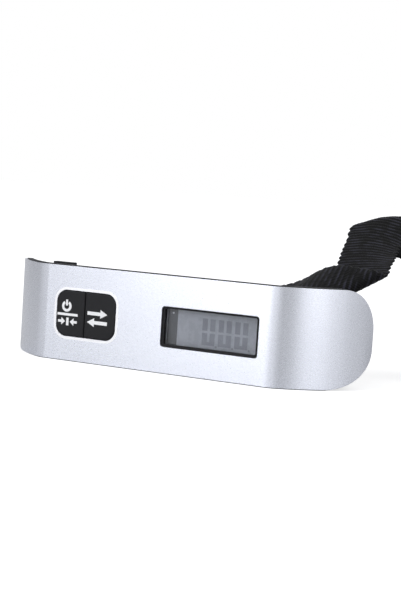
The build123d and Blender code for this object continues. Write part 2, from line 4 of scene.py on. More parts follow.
import bmesh
import bpy
import numpy as np
from mathutils import Matrix, Vector


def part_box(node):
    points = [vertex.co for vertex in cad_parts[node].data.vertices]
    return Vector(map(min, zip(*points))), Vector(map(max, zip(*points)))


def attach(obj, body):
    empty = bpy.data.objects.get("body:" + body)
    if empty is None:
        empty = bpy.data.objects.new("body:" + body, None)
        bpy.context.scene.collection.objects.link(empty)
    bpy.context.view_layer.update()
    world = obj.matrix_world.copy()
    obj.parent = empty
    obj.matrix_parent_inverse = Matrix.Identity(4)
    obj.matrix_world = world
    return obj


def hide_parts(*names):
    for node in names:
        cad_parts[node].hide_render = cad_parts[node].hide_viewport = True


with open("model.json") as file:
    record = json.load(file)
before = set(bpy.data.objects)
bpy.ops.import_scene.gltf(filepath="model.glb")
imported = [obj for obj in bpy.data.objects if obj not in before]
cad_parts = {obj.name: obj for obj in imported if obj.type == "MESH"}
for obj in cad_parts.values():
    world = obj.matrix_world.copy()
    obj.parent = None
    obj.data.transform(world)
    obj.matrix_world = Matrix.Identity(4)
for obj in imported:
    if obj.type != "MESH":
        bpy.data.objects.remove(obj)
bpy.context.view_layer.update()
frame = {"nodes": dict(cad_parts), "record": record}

MM = 0.001
FACE_Y = -2.0 * MM          # front surface of the metal face
rng = np.random.default_rng(7)


# ================= small helpers =================
def mm(x, depth, z):
    """Point in metres from x, depth behind the face and height, all in millimetres."""
    return Vector((x * MM, FACE_Y + depth * MM, z * MM))


def add_mesh(name, verts, faces, material, body, smooth=True):
    """New piece from points in metres; it rides on a body and takes a material slot."""
    mesh = bpy.data.meshes.new(name)
    mesh.from_pydata([tuple(v) for v in verts], [], [tuple(int(i) for i in f) for f in faces])
    mesh.validate()
    mesh.polygons.foreach_set("use_smooth", [smooth] * len(mesh.polygons))
    mesh.materials.append(material)
    piece = bpy.data.objects.new(name, mesh)
    bpy.context.scene.collection.objects.link(piece)
    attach(piece, body)
    return piece


def outward(piece):
    """Turns a closed piece's faces outward."""
    work = bmesh.new()
    work.from_mesh(piece.data)
    bmesh.ops.recalc_face_normals(work, faces=work.faces)
    work.to_mesh(piece.data)
    work.free()


# ================= strap =================
STRAP_W, STRAP_T = 21.6, 1.4
STRAP_BENDS = [             # place along, skew in degrees, inner radius, turn in degrees
    (11.8, 37.2, 18.0, 58.7),
    (39.2, 22.5, 14.0, -52.9),
    (56.9, 40.5, 2.2, -165.5),
    (110.9, 21.2, 4.9, 198.5),
    (138.0, -19.0, 25.1, -81.0),
    (190.3, 3.4, 16.0, 68.0),
]
STRAP_START, STRAP_END = 2.5, 211.0
STRAP_AT = np.array([0.69, 43.9, 20.8])
STRAP_YAW, STRAP_PITCH, STRAP_ROLL = 8.0, 1.2, -33.4
STRAP_TWIST_RUN, STRAP_TAIL = 14.0, 14.0
RING_Z = 17.0
DROOP_FROM_X, DROOP_REACH, DROOP_RATE = 47.0, 14.0, 0.084
DROOP_FROM_Z, DROOP_RISE = 38.0, 18.0
DROOP_TO_X, DROOP_FADE = 110.0, 40.0
LEAN_FROM, LEAN_TO, LEAN_BY = 8.0, 54.0, 3.4        # stretch that leans sideways, and how far
BAR_R, BAR_CLEAR, BAR_TO_SEAM = 1.3, 0.15, 3.3
LOOP_LEAN = math.radians(60)                        # where each loop leaves the seam
RIB_PITCH, RIB_HEIGHT = 1.8, 0.26
SCALLOP_PITCH, SCALLOP_DEPTH, SCALLOP_RISE = 3.0, 0.6, 1.35
KNOT_PITCH = 5.0                                    # how often the cut edge changes its habit
END_PINCH = 0.8                                     # length over which a fused cut end thins
ACROSS_COUNT = 41
STITCH_R, STITCH_SINK, STITCH_PITCH, STITCH_LIFT = 0.24, 0.12, 2.1, 0.16
STITCH_RINGS, STITCH_SPOKES = 7, 8
SEAM_INSET, SEAM_NEAR, SEAM_FAR = 2.2, 1.6, 2.0     # stitched box in from the edge, seam and tail


# ================= materials =================
class Shader:
    """A principled material with a few procedural layers, read in object space."""

    def __init__(self, name, colour, rough, metal=0.0):
        self.material = bpy.data.materials.new(name)
        self.material.use_nodes = True
        self.tree = self.material.node_tree
        self.bsdf = self.tree.nodes["Principled BSDF"]
        self.bsdf.inputs["Base Color"].default_value = (*colour, 1)
        self.bsdf.inputs["Roughness"].default_value = rough
        self.bsdf.inputs["Metallic"].default_value = metal
        self.colour, self.rough = colour, rough
        self.normal = None
        self.place = self.tree.nodes.new("ShaderNodeTexCoord").outputs["Object"]

    def node(self, kind, **settings):
        made = self.tree.nodes.new(kind)
        for key, value in settings.items():
            setattr(made, key, value)
        return made

    def link(self, a, b):
        self.tree.links.new(a, b)

    def stretched(self, scale):
        mapping = self.node("ShaderNodeMapping")
        mapping.inputs["Scale"].default_value = scale
        self.link(self.place, mapping.inputs["Vector"])
        return mapping.outputs["Vector"]

    def noise(self, scale, detail=3.0, vector=None, roughness=0.55):
        made = self.node("ShaderNodeTexNoise")
        made.inputs["Scale"].default_value = scale
        made.inputs["Detail"].default_value = detail
        made.inputs["Roughness"].default_value = roughness
        self.link(vector if vector is not None else self.place, made.inputs["Vector"])
        return made.outputs["Fac"]

    def ranged(self, value, low, high, from_low=0.3, from_high=0.7):
        made = self.node("ShaderNodeMapRange")
        made.inputs["From Min"].default_value = from_low
        made.inputs["From Max"].default_value = from_high
        made.inputs["To Min"].default_value = low
        made.inputs["To Max"].default_value = high
        self.link(value, made.inputs["Value"])
        return made.outputs["Result"]

    def tint(self, fac, other, amount=1.0):
        """Colour that wanders between the base and another by a 0 to 1 field."""
        mix = self.node("ShaderNodeMix", data_type="RGBA")
        mix.inputs["A"].default_value = (*self.colour, 1)
        mix.inputs["B"].default_value = (*other, 1)
        self.link(self.ranged(fac, 0.0, amount), mix.inputs["Factor"])
        self.link(mix.outputs["Result"], self.bsdf.inputs["Base Color"])
        return self

    def roughen(self, fac, spread):
        wandering = self.ranged(fac, self.rough - spread, self.rough + spread)
        self.link(wandering, self.bsdf.inputs["Roughness"])
        return self

    def bump(self, height, distance, strength=1.0):
        made = self.node("ShaderNodeBump")
        made.inputs["Distance"].default_value = distance
        made.inputs["Strength"].default_value = strength
        self.link(height, made.inputs["Height"])
        if self.normal is not None:
            self.link(self.normal, made.inputs["Normal"])
        self.normal = made.outputs["Normal"]
        self.link(self.normal, self.bsdf.inputs["Normal"])
        return self

    def soft_edges(self, radius):
        """Rounds the shading of sharp edges, as a moulded or deburred edge does."""
        made = self.node("ShaderNodeBevel", samples=4)
        made.inputs["Radius"].default_value = radius
        self.normal = made.outputs["Normal"]
        self.link(self.normal, self.bsdf.inputs["Normal"])
        return self

    def set(self, **values):
        for key, value in values.items():
            self.bsdf.inputs[key.replace("_", " ")].default_value = value
        return self


def brushed_panel():
    """Satin metal face: long fine scratches, cloudy lacquer."""
    s = Shader("brushed_panel", (0.84, 0.86, 0.92), 0.28, 1.0)
    around = s.node("ShaderNodeTangent", direction_type="RADIAL", axis="Z")
    s.link(around.outputs["Tangent"], s.bsdf.inputs["Tangent"])
    s.set(Anisotropic=0.7, Anisotropic_Rotation=0.25)
    s.soft_edges(0.25 * MM)
    grain = s.noise(1.0, 4.0, s.stretched((1300, 1300, 5200)))
    cloud = s.noise(45.0, 2.0)
    s.tint(cloud, (0.80, 0.82, 0.885), 0.6)
    s.roughen(grain, 0.03)
    s.bump(grain, 0.01 * MM, 0.14)
    return s.material


def polished_edge():
    """Diamond-cut rim of the key opening, brighter than the brushed face."""
    s = Shader("polished_edge", (0.99, 0.99, 1.0), 0.4, 1.0)
    s.roughen(s.noise(900.0), 0.05)
    return s.material


def moulded(name, colour, rough, grain=0.03, edge=0.25, shine=0.4):
    """Injection-moulded plastic: fine spark texture and slightly uneven gloss."""
    s = Shader(name, colour, rough)
    s.soft_edges(edge * MM)
    spark = s.noise(2600.0, 2.0)
    wear = s.noise(60.0, 3.0)
    s.tint(wear, tuple(min(1.0, c * 1.25 + 0.004) for c in colour), 0.8)
    s.roughen(wear, 0.06)
    s.bump(spark, grain * MM, 0.6)
    s.set(Specular_IOR_Level=shine)
    return s.material


def clear_window():
    s = Shader("window_clear", (0.97, 0.98, 0.99), 0.02)
    s.set(Transmission_Weight=1.0, IOR=1.45)
    s.roughen(s.noise(300.0), 0.012)
    return s.material


def lcd_back():
    """Grey panel of the display, a little uneven."""
    s = Shader("lcd_grey", (0.50, 0.52, 0.57), 0.28)
    s.tint(s.noise(60.0, 2.0, s.stretched((1.0, 1.0, 0.35))), (0.43, 0.45, 0.50), 1.0)
    s.roughen(s.noise(500.0), 0.05)
    return s.material


def lcd_shade(name, colour):
    s = Shader(name, colour, 0.35)
    s.tint(s.noise(250.0), tuple(c * 1.2 for c in colour), 1.0)
    return s.material


def metal(name, colour, rough, scratch=0.03, edge=0.15):
    """Plated or bare metal with faint scratches and dulled patches."""
    s = Shader(name, colour, rough, 1.0)
    s.soft_edges(edge * MM)
    fine = s.noise(1500.0, 3.0, s.stretched((1, 1, 0.2)))
    dull = s.noise(180.0, 3.0)
    s.tint(dull, tuple(c * 0.82 for c in colour), 0.7)
    s.roughen(dull, min(rough * 0.5, 0.09))
    s.bump(fine, scratch * MM, 0.25)
    return s.material


def rubbery(name, colour, rough=0.55):
    s = Shader(name, colour, rough)
    s.tint(s.noise(400.0), tuple(c * 0.8 for c in colour), 0.8)
    s.roughen(s.noise(700.0), 0.08)
    s.bump(s.noise(1200.0), 0.02 * MM, 0.5)
    return s.material


def board():
    """Solder mask with copper tracks showing through."""
    s = Shader("board_green", (0.015, 0.12, 0.045), 0.3)
    tracks = s.node("ShaderNodeTexBrick")
    tracks.inputs["Scale"].default_value = 260.0
    tracks.inputs["Mortar Size"].default_value = 0.03
    s.link(s.place, tracks.inputs["Vector"])
    s.tint(tracks.outputs["Fac"], (0.03, 0.2, 0.07), 1.0)
    s.roughen(s.noise(300.0), 0.06)
    s.bump(tracks.outputs["Fac"], 0.02 * MM, 0.5)
    return s.material


def webbing():
    """Ribbed polyester webbing: painted highlight glints on the rib crests, in patches, yarns across
    them, fine fibre fuzz, faint sheen.
    """
    s = Shader("strap_black", (0.0018, 0.0018, 0.0021), 0.5)
    flat = s.node("ShaderNodeUVMap", uv_map="weave").outputs["UV"]
    crest = s.node("ShaderNodeTexWave", wave_type="BANDS", bands_direction="X", wave_profile="SIN")
    crest.inputs["Scale"].default_value = math.pi / 10 / RIB_PITCH
    crest.inputs["Distortion"].default_value = 0.25
    s.link(flat, crest.inputs["Vector"])
    yarn = s.node("ShaderNodeTexWave", wave_type="BANDS", bands_direction="Y", wave_profile="SIN")
    yarn.inputs["Scale"].default_value = 0.42
    yarn.inputs["Distortion"].default_value = 1.0
    yarn.inputs["Detail"].default_value = 2.0
    s.link(flat, yarn.inputs["Vector"])
    glint_patch = s.noise(0.22, 4.0, flat)
    # painted highlight: the rib crests take a lighter bluish colour as glints, strong in some patches
    # and weak in others
    painted_crest_glint = s.node("ShaderNodeMath", operation="MULTIPLY")
    s.link(s.ranged(crest.outputs["Fac"], 0.0, 1.0, 0.25, 1.0), painted_crest_glint.inputs[0])
    s.link(s.ranged(glint_patch, 0.2, 1.0, 0.38, 0.66), painted_crest_glint.inputs[1])
    s.tint(painted_crest_glint.outputs["Value"], (0.021, 0.021, 0.031), 1.0)
    fibre = s.noise(5200.0, 3.0)
    s.roughen(fibre, 0.1)
    s.bump(yarn.outputs["Fac"], 0.10 * MM, 0.8)
    s.bump(fibre, 0.05 * MM, 0.5)
    s.set(Sheen_Weight=0.02, Sheen_Roughness=0.4, Specular_IOR_Level=0.13)
    return s.material


def thread():
    s = Shader("thread_black", (0.035, 0.035, 0.04), 0.55)
    twist = s.node("ShaderNodeTexWave", wave_type="BANDS", bands_direction="DIAGONAL")
    twist.inputs["Scale"].default_value = 900.0
    s.link(s.place, twist.inputs["Vector"])
    s.tint(twist.outputs["Fac"], (0.07, 0.07, 0.08), 1.0)
    s.bump(twist.outputs["Fac"], 0.03 * MM, 0.7)
    s.set(Sheen_Weight=0.05)
    return s.material


def printed_ink():
    s = Shader("ink_white", (0.88, 0.88, 0.88), 0.5)
    s.tint(s.noise(800.0), (0.80, 0.80, 0.81), 1.0)
    s.roughen(s.noise(1200.0), 0.08)
    return s.material


MATERIALS = {
    "brushed_panel": brushed_panel(),
    "frame_black": moulded("frame_black", (0.008, 0.008, 0.009), 0.42, 0.03, 0.25, 0.22),
    "cover_black": moulded("cover_black", (0.016, 0.016, 0.018), 0.4, 0.05, 0.25, 0.5),
    "window_clear": clear_window(),
    "bezel_black": moulded("bezel_black", (0.006, 0.006, 0.007), 0.55, 0.02, 0.15, 0.2),
    "lcd_grey": lcd_back(),
    "strip_rubber": rubbery("strip_rubber", (0.55, 0.28, 0.33)),
    "key_charcoal": moulded("key_charcoal", (0.011, 0.011, 0.0125), 0.5, 0.02, 0.35, 0.2),
    "dome_steel": metal("dome_steel", (0.62, 0.62, 0.62), 0.3),
    "board_green": board(),
    "part_tan": rubbery("part_tan", (0.42, 0.28, 0.16), 0.5),
    "chip_black": moulded("chip_black", (0.015, 0.015, 0.016), 0.5),
    "screw_steel": metal("screw_steel", (0.50, 0.50, 0.52), 0.25),
    "tray_black": moulded("tray_black", (0.010, 0.010, 0.011), 0.45, 0.03, 0.25, 0.25),
    "cell_steel": metal("cell_steel", (0.68, 0.68, 0.70), 0.22),
    "contact_nickel": metal("contact_nickel", (0.66, 0.64, 0.58), 0.25),
    "beam_aluminium": metal("beam_aluminium", (0.74, 0.75, 0.77), 0.38),
    "gauge_foil": metal("gauge_foil", (0.60, 0.38, 0.12), 0.4),
    "sealant_white": rubbery("sealant_white", (0.75, 0.75, 0.72), 0.4),
    "lead_red": rubbery("lead_red", (0.42, 0.02, 0.02), 0.4),
    "hanger_steel": metal("hanger_steel", (0.45, 0.45, 0.47), 0.2),
    "strap_black": webbing(),
    "thread_black": thread(),
    "clip_steel": metal("clip_steel", (0.42, 0.42, 0.44), 0.2),
    "spring_steel": metal("spring_steel", (0.42, 0.42, 0.44), 0.3),
}
INK = printed_ink()


def dress_frame():
    """Gives every CAD node the material of its slot."""
    slots = {row["node"]: row["material_slot"] for row in frame["record"]["subparts"]}
    for name, node in frame["nodes"].items():
        for slot in node.material_slots:
            slot.material = MATERIALS[slots[name]]


def bent(s, t, h):
    """Strap points after every fold; s along, t across, h off the middle surface, in mm."""
    points = np.stack([s, t, h], -1)
    flat = np.stack([s, t, np.zeros_like(h)], -1)
    for start, skew, radius, turn in reversed(STRAP_BENDS):
        angle = math.radians(skew)
        onward = np.array([math.cos(angle), -math.sin(angle), 0])
        crease = np.array([math.sin(angle), math.cos(angle), 0])
        lift = np.array([0, 0, math.copysign(1, turn)])
        full = math.radians(abs(turn))
        past = (flat - [start, 0, 0]) @ onward
        local = points - [start, 0, 0]
        swing = np.clip(past / radius, 0, full)
        rest = np.where(past > radius * full, local @ onward - radius * swing, 0)
        reach = radius - local @ lift
        moved = (np.outer(local @ crease, crease)
                 + np.outer(reach * np.sin(swing) + rest * np.cos(swing), onward)
                 + np.outer(radius - reach * np.cos(swing) + rest * np.sin(swing), lift)) + [start, 0, 0]
        points = np.where((past > 0)[:, None], moved, points)
    return points


def turn_about(points, axis, degrees):
    """Rotates points about an axis through the origin; degrees may differ from point to point."""
    a = np.radians(degrees)
    cos, sin = np.cos(a)[:, None], np.sin(a)[:, None]
    k = np.array(axis, float)
    return points * cos + np.cross(k, points) * sin + np.outer(points @ k, k) * (1 - cos)


def drooped(points):
    """Lets the far edge of the upper fold hang lower, so that its crest curves down."""
    out = np.clip(points[:, 0] - DROOP_FROM_X, 0, None)
    high = np.clip((points[:, 2] - DROOP_FROM_Z) / DROOP_RISE, 0, 1)
    near = np.clip((DROOP_TO_X - points[:, 0]) / DROOP_FADE, 0, 1)
    drop = DROOP_RATE * np.minimum(out, DROOP_REACH) ** 1.5 * high * high * (3 - 2 * high)
    return points - np.outer(drop * near * near * (3 - 2 * near), [0, 0, 1])


def strap_points(s, t, h):
    """The same points in metres in the scale's frame; the strap leaves the ring upright."""
    s, t, h = (np.asarray(v, float) for v in (s, t, h))
    run = np.clip((s - STRAP_START) / STRAP_TWIST_RUN, 0, 1)
    share = run * run * (3 - 2 * run)
    p = bent(s, t, h)
    upright = turn_about(np.stack([p[:, 0], -p[:, 2], p[:, 1]], -1), (1, 0, 0), STRAP_ROLL * share)
    pitched = turn_about(upright, (0, -1, 0), STRAP_PITCH * share)
    placed = turn_about(pitched, (0, 0, 1), np.full(len(s), STRAP_YAW))
    placed += np.stack([np.full(len(s), STRAP_AT[0]), np.full(len(s), STRAP_AT[1]),
                        RING_Z + (STRAP_AT[2] - RING_Z) * share], -1)
    leaning = np.clip((s - LEAN_FROM) / (LEAN_TO - LEAN_FROM), 0, 1)
    placed[:, 0] -= LEAN_BY * np.sin(math.pi * leaning) ** 2
    return drooped(placed) * MM + [0, FACE_Y, 0]


def strap_path(step=0.3):
    """Side view of the webbing's middle line: tail, loop, main run, loop, tail, as (s, h) points."""
    mean = BAR_R + BAR_CLEAR + STRAP_T / 2
    arc = np.linspace(-LOOP_LEAN, -2 * math.pi + LOOP_LEAN, 44)
    ring_at, clip_at = STRAP_START - BAR_TO_SEAM, STRAP_END + BAR_TO_SEAM
    mid = STRAP_T / 2
    ring = [(ring_at + mean * math.cos(a), mid + mean * math.sin(a)) for a in arc[::-1]]
    clip = [(clip_at - mean * math.cos(a), mid + mean * math.sin(a)) for a in arc]
    first = [(STRAP_START + STRAP_TAIL, STRAP_T), (STRAP_START, STRAP_T)]
    last = [(STRAP_END, STRAP_T), (STRAP_END - STRAP_TAIL, STRAP_T)]
    corners = np.array(first + ring + [(STRAP_START, 0), (STRAP_END, 0)] + clip + last)
    gone = np.concatenate([[0], np.cumsum(np.hypot(*np.diff(corners, axis=0).T))])
    along = np.linspace(0, gone[-1], int(gone[-1] / step))
    line = np.stack([np.interp(along, gone, corners[:, i]) for i in (0, 1)], -1)
    return along, line


def edge_line(along):
    """Half width of the webbing along one edge: scallops of uneven pitch and depth, slight drift."""
    knots = np.arange(0, along[-1] + KNOT_PITCH, KNOT_PITCH)
    slip = np.cumsum(rng.normal(0, 0.22, len(knots)))
    phase = along / SCALLOP_PITCH + np.interp(along, knots, slip)
    deep = SCALLOP_DEPTH * np.interp(along, knots, rng.uniform(0.5, 1.25, len(knots)))
    drift = np.interp(along, knots, rng.normal(0, 0.14, len(knots)))
    return STRAP_W / 2 - deep + SCALLOP_RISE * deep * np.abs(np.sin(math.pi * phase)) + drift


def strap_mesh():
    """Ribbed webbing as one closed ribbon, with scalloped edges and fused cut ends."""
    along, line = strap_path()
    tangent = np.gradient(line, axis=0)
    tangent /= np.linalg.norm(tangent, axis=1)[:, None]
    side = np.stack([-tangent[:, 1], tangent[:, 0]], -1)
    across = np.linspace(-1, 1, ACROSS_COUNT)
    rib = np.abs(np.sin(math.pi * along / RIB_PITCH)) ** 0.8
    left_edge, right_edge = edge_line(along), edge_line(along)
    near_end = np.minimum(along, along[-1] - along)
    pinch = np.clip(near_end / END_PINCH, 0.35, 1)
    edge = np.sqrt(np.clip(1 - np.abs(across) ** 14, 0, 1))
    yarns = 0.85 + 0.15 * np.cos(across * 60)
    swell = STRAP_T / 2 - RIB_HEIGHT + RIB_HEIGHT * rib[:, None] * yarns[None]
    t = np.where(across < 0, left_edge[:, None], right_edge[:, None]) * across[None]
    layers = []
    for face in (1, -1):
        off = face * swell * edge[None] * pinch[:, None]
        s = line[:, 0:1] + side[:, 0:1] * off
        h = line[:, 1:2] + side[:, 1:2] * off
        layers.append(strap_points(s.ravel(), t.ravel(), h.ravel()).reshape(len(along), len(across), 3))
    rows, cols = len(along), len(across)
    count = rows * cols
    verts = np.concatenate([layer.reshape(-1, 3) for layer in layers])
    index = np.arange(count).reshape(rows, cols)
    a, b, c, d = index[:-1, :-1], index[1:, :-1], index[1:, 1:], index[:-1, 1:]
    top = np.stack([a, d, c, b], -1).reshape(-1, 4)
    low = np.stack([a, b, c, d], -1).reshape(-1, 4) + count
    caps = []
    for i in range(cols - 1):
        left, right = index[0, i], index[0, i + 1]
        caps.append((left, left + count, right + count, right))
        left, right = index[-1, i], index[-1, i + 1]
        caps.append((right, right + count, left + count, left))
    piece = add_mesh("strap_webbing", verts, np.concatenate([top, low, np.array(caps)]),
                     MATERIALS["strap_black"], "strap")
    uv = piece.data.uv_layers.new(name="weave")
    length = np.tile(np.repeat(along, cols), 2)
    width = np.tile(np.tile(across * STRAP_W / 2, rows), 2)
    loops = np.empty(len(piece.data.loops), int)
    piece.data.loops.foreach_get("vertex_index", loops)
    uv.data.foreach_set("uv", np.stack([length[loops], width[loops]], -1).ravel())
    weld(piece, 0.02 * MM)
    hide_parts("strap")
    return piece, along[-1]


def weld(piece, distance):
    """Joins points closer than a distance and turns the faces outward."""
    work = bmesh.new()
    work.from_mesh(piece.data)
    bmesh.ops.remove_doubles(work, verts=work.verts, dist=distance)
    bmesh.ops.dissolve_degenerate(work, edges=work.edges, dist=distance * 0.1)
    bmesh.ops.recalc_face_normals(work, faces=work.faces)
    work.to_mesh(piece.data)
    work.free()


def stitch_line(start, end, face):
    """Stitches between two (s, t) points on one face of a sewn end, each a short sunken arch."""
    start, end = np.array(start, float), np.array(end, float)
    count = max(2, int(round(np.linalg.norm(end - start) / STITCH_PITCH)))
    level = 1.5 * STRAP_T if face > 0 else -0.5 * STRAP_T
    rings, spokes = STITCH_RINGS, STITCH_SPOKES
    verts, faces = [], []
    unit = (end - start) / np.linalg.norm(end - start)
    normal = np.array([-unit[1], unit[0]])
    for k in range(count):
        a = start + (end - start) * (k + 0.12) / count
        b = start + (end - start) * (k + 0.88) / count
        base = len(verts)
        for i in range(rings):
            f = i / (rings - 1)
            thick = STITCH_R * (0.35 + 0.65 * math.sin(math.pi * min(max(f, 0.08), 0.92)) ** 0.5)
            rise = STITCH_LIFT * math.sin(math.pi * f) - STITCH_SINK
            for j in range(spokes):
                w = 2 * math.pi * j / spokes
                at = a + (b - a) * f + normal * thick * math.cos(w)
                verts.append((at[0], at[1], level + face * (rise + thick * math.sin(w) * 0.8)))
        for i in range(rings - 1):
            for j in range(spokes):
                n = (j + 1) % spokes
                faces.append((base + i * spokes + j, base + i * spokes + n,
                              base + (i + 1) * spokes + n, base + (i + 1) * spokes + j))
        faces.append(tuple(base + j for j in range(spokes))[::-1])
        faces.append(tuple(base + (rings - 1) * spokes + j for j in range(spokes)))
    return verts, faces


def stitching():
    """A sewn box with a cross on both faces of both doubled ends."""
    half = STRAP_W / 2 - SEAM_INSET
    verts, faces = [], []
    for near, far in ((STRAP_START + SEAM_NEAR, STRAP_START + STRAP_TAIL - SEAM_FAR),
                      (STRAP_END - SEAM_NEAR, STRAP_END - STRAP_TAIL + SEAM_FAR)):
        corners = [(near, -half), (near, half), (far, half), (far, -half)]
        lines = [(corners[i], corners[(i + 1) % 4]) for i in range(4)]
        lines += [(corners[0], corners[2]), (corners[1], corners[3])]
        for face in (1, -1):
            for a, b in lines:
                more, quads = stitch_line(a, b, face)
                base = len(verts)
                verts += more
                faces += [tuple(i + base for i in q) for q in quads]
    flat = np.array(verts)
    placed = strap_points(flat[:, 0], flat[:, 1], flat[:, 2])
    piece = add_mesh("strap_threads", placed, faces, MATERIALS["thread_black"], "strap")
    outward(piece)
    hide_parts("strap_stitching")
    return piece


# ================= flat marks: key symbols and display =================
KEY_FLANGE, KEY_CORNER = 0.8, 3.9
RIM_INNER, RIM_OUTER, RIM_T = 0.3, 1.25, 0.04
INK_DEPTH, INK_T = -0.35, 0.06                      # the keys stand proud of the face
POWER_AT, POWER_R, POWER_STROKE = (-35.2, 19.8), 1.55, 0.95
DIVIDER_X, DIVIDER_Z = (-39.0, -30.4), (16.4, 17.3)
ZERO_Z, ZERO_X, ZERO_HALF_TALL = 14.3, (-35.1, -34.1), 1.4
CHANGE_X, CHANGE_Z = (-26.3, -18.0), (18.2, 15.0)
LCD_DEPTH = 3.3
FIGURE_AT, FIGURE_PITCH, FIGURE_COUNT = (18.5, 11.5), 6.3, 3
FIGURE_SIZE, FIGURE_BAR, FIGURE_FOOT, FIGURE_GAP = (5.0, 9.2), 2.0, 1.2, 0.4
POINT_AT, POINT_R = (24.15, 11.3), 0.4
BAND_X, BAND_Z = (3.6, 8.7), (9.0, 24.3)
# the light line between these places along is a painted reflection; the spot is drawn in the same colour
REFLECTION_LINE_X, SPOT_AT, SPOT_R = (4.4, 4.75), (6.9, 21.4), 0.4


def bar(x0, x1, z0, z1):
    """Rectangle between two places along and two heights."""
    return [(x0, z0), (x1, z0), (x1, z1), (x0, z1)]


def ribbon(points, width, closed=False):
    """Outline quads of a flat stroke through (x, z) points in mm."""
    p = np.array(points, float)
    if closed:
        p = np.vstack([p, p[:1]])
    d = np.gradient(p, axis=0)
    if closed:
        d[0] = d[-1] = p[1] - p[-2]
    n = np.stack([-d[:, 1], d[:, 0]], -1)
    n /= np.linalg.norm(n, axis=1)[:, None]
    return [[p[i] + n[i] * width / 2, p[i] - n[i] * width / 2, p[i + 1] - n[i + 1] * width / 2,
             p[i + 1] + n[i + 1] * width / 2] for i in range(len(p) - 1)]


def raised(name, polygons, depth, thickness, material, body):
    """Thin prisms of flat polygons that stand towards the reader from a depth, all in mm."""
    verts, faces = [], []
    for polygon in polygons:
        base, n = len(verts), len(polygon)
        verts += [mm(x, depth, z) for x, z in polygon]
        verts += [mm(x, depth - thickness, z) for x, z in polygon]
        faces.append(tuple(base + i for i in range(n)))
        faces.append(tuple(base + n + i for i in range(n))[::-1])
        faces += [(base + i, base + n + i, base + n + (i + 1) % n, base + (i + 1) % n) for i in range(n)]
    piece = add_mesh(name, verts, faces, material, body, smooth=False)
    weld(piece, 0.004 * MM)
    return piece


def circle(x, z, radius, start=0.0, end=360.0, count=40):
    """Points of a circle, or of an arc between two angles in degrees."""
    angles = np.radians(np.linspace(start, end, count, endpoint=end - start < 360))
    return [(x + radius * math.cos(a), z + radius * math.sin(a)) for a in angles]


def arrow(x0, x1, z, stem, head_long, head_tall):
    """Polygons of a straight arrow from x0 to x1."""
    way = 1 if x1 > x0 else -1
    neck = x1 - way * head_long
    return [bar(x0, neck, z - stem / 2, z + stem / 2),
            [(neck, z - head_tall / 2), (x1, z), (neck, z + head_tall / 2)]]


def key_symbols():
    """Generic symbols: power ring over a bar and a zeroing mark, and two change-over arrows."""
    x, z = POWER_AT
    power = ribbon(circle(x, z, POWER_R, 122, 418), POWER_STROKE)
    power.append(bar(x - 0.42, x + 0.42, z + 0.2, z + 2.35))
    power.append(bar(*DIVIDER_X, *DIVIDER_Z))
    power += arrow(-38.6, -35.6, ZERO_Z, 0.9, 1.6, 2.7) + arrow(-30.6, -33.6, ZERO_Z, 0.9, 1.6, 2.7)
    power.append(bar(*ZERO_X, ZERO_Z - ZERO_HALF_TALL, ZERO_Z + ZERO_HALF_TALL))
    raised("power_symbols", power, INK_DEPTH, INK_T, INK, "power_key")
    left, right = CHANGE_X
    change = arrow(left, right, CHANGE_Z[0], 1.25, 2.9, 3.1)
    change += arrow(right, left, CHANGE_Z[1], 1.25, 2.9, 3.1)
    raised("unit_symbols", change, INK_DEPTH, INK_T, INK, "unit_key")


def figure(x, z):
    """Segments of one unlit figure: thick upright bars on a level foot, parted by a light gap."""
    wide, tall = FIGURE_SIZE
    middle, foot = z + tall / 2, z + FIGURE_FOOT
    bars = [bar(x, x + wide, z, foot)]
    for side in (x, x + wide - FIGURE_BAR):
        for low, high in ((foot, middle - FIGURE_GAP), (middle + FIGURE_GAP, z + tall)):
            bars.append(bar(side, side + FIGURE_BAR, low, high))
    return bars


def display_marks():
    """Ghost of the unlit figures, the darker contact band, a light line across it that is a painted
    reflection, and a light spot.
    """
    ghost = lcd_shade("lcd_ghost", (0.255, 0.268, 0.31))
    dark = lcd_shade("lcd_band_dark", (0.105, 0.11, 0.12))
    # painted reflection: a light line of display colour stands in for a reflection; the spot shares this
    # colour
    light = lcd_shade("lcd_painted_reflection_and_spot", (0.58, 0.59, 0.62))
    segments = []
    for i in range(FIGURE_COUNT):
        segments += figure(FIGURE_AT[0] + FIGURE_PITCH * i, FIGURE_AT[1])
        segments.append(circle(POINT_AT[0] + FIGURE_PITCH * i, POINT_AT[1], POINT_R, count=16))
    raised("lcd_figures", segments, LCD_DEPTH, 0.02, ghost, "scale_body")
    raised("lcd_band", [bar(*BAND_X, *BAND_Z)], LCD_DEPTH, 0.03, dark, "scale_body")
    raised("lcd_reflection_line_and_spot", [bar(*REFLECTION_LINE_X, *BAND_Z), circle(*SPOT_AT, SPOT_R)], LCD_DEPTH, 0.05, light,
           "scale_body")


def rounded_outline(x, z, radius, per_corner=12):
    """Rectangle between two places along and two heights, with round corners."""
    points = []
    for cx, cz, start in ((x[1] - radius, z[1] - radius, 0), (x[0] + radius, z[1] - radius, 90),
                          (x[0] + radius, z[0] + radius, 180), (x[1] - radius, z[0] + radius, 270)):
        points += circle(cx, cz, radius, start, start + 90, per_corner)
    return points


def grown(x, z, by):
    """The same rectangle, larger by a margin all round."""
    return (x[0] - by, x[1] + by), (z[0] - by, z[1] + by)


def opening_edges():
    """Bright cut edge round the key opening in the face."""
    low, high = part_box("power_key")[0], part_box("unit_key")[1]
    x = (low[0] / MM + KEY_FLANGE, high[0] / MM - KEY_FLANGE)
    z = (low[2] / MM + KEY_FLANGE, high[2] / MM - KEY_FLANGE)
    outer = rounded_outline(*grown(x, z, RIM_OUTER), KEY_CORNER + RIM_OUTER)
    inner = rounded_outline(*grown(x, z, RIM_INNER), KEY_CORNER + RIM_INNER)
    n = len(outer)
    rim = [[outer[i], outer[(i + 1) % n], inner[(i + 1) % n], inner[i]] for i in range(n)]
    raised("key_opening_edge", rim, 0.0, RIM_T, polished_edge(), "scale_body")


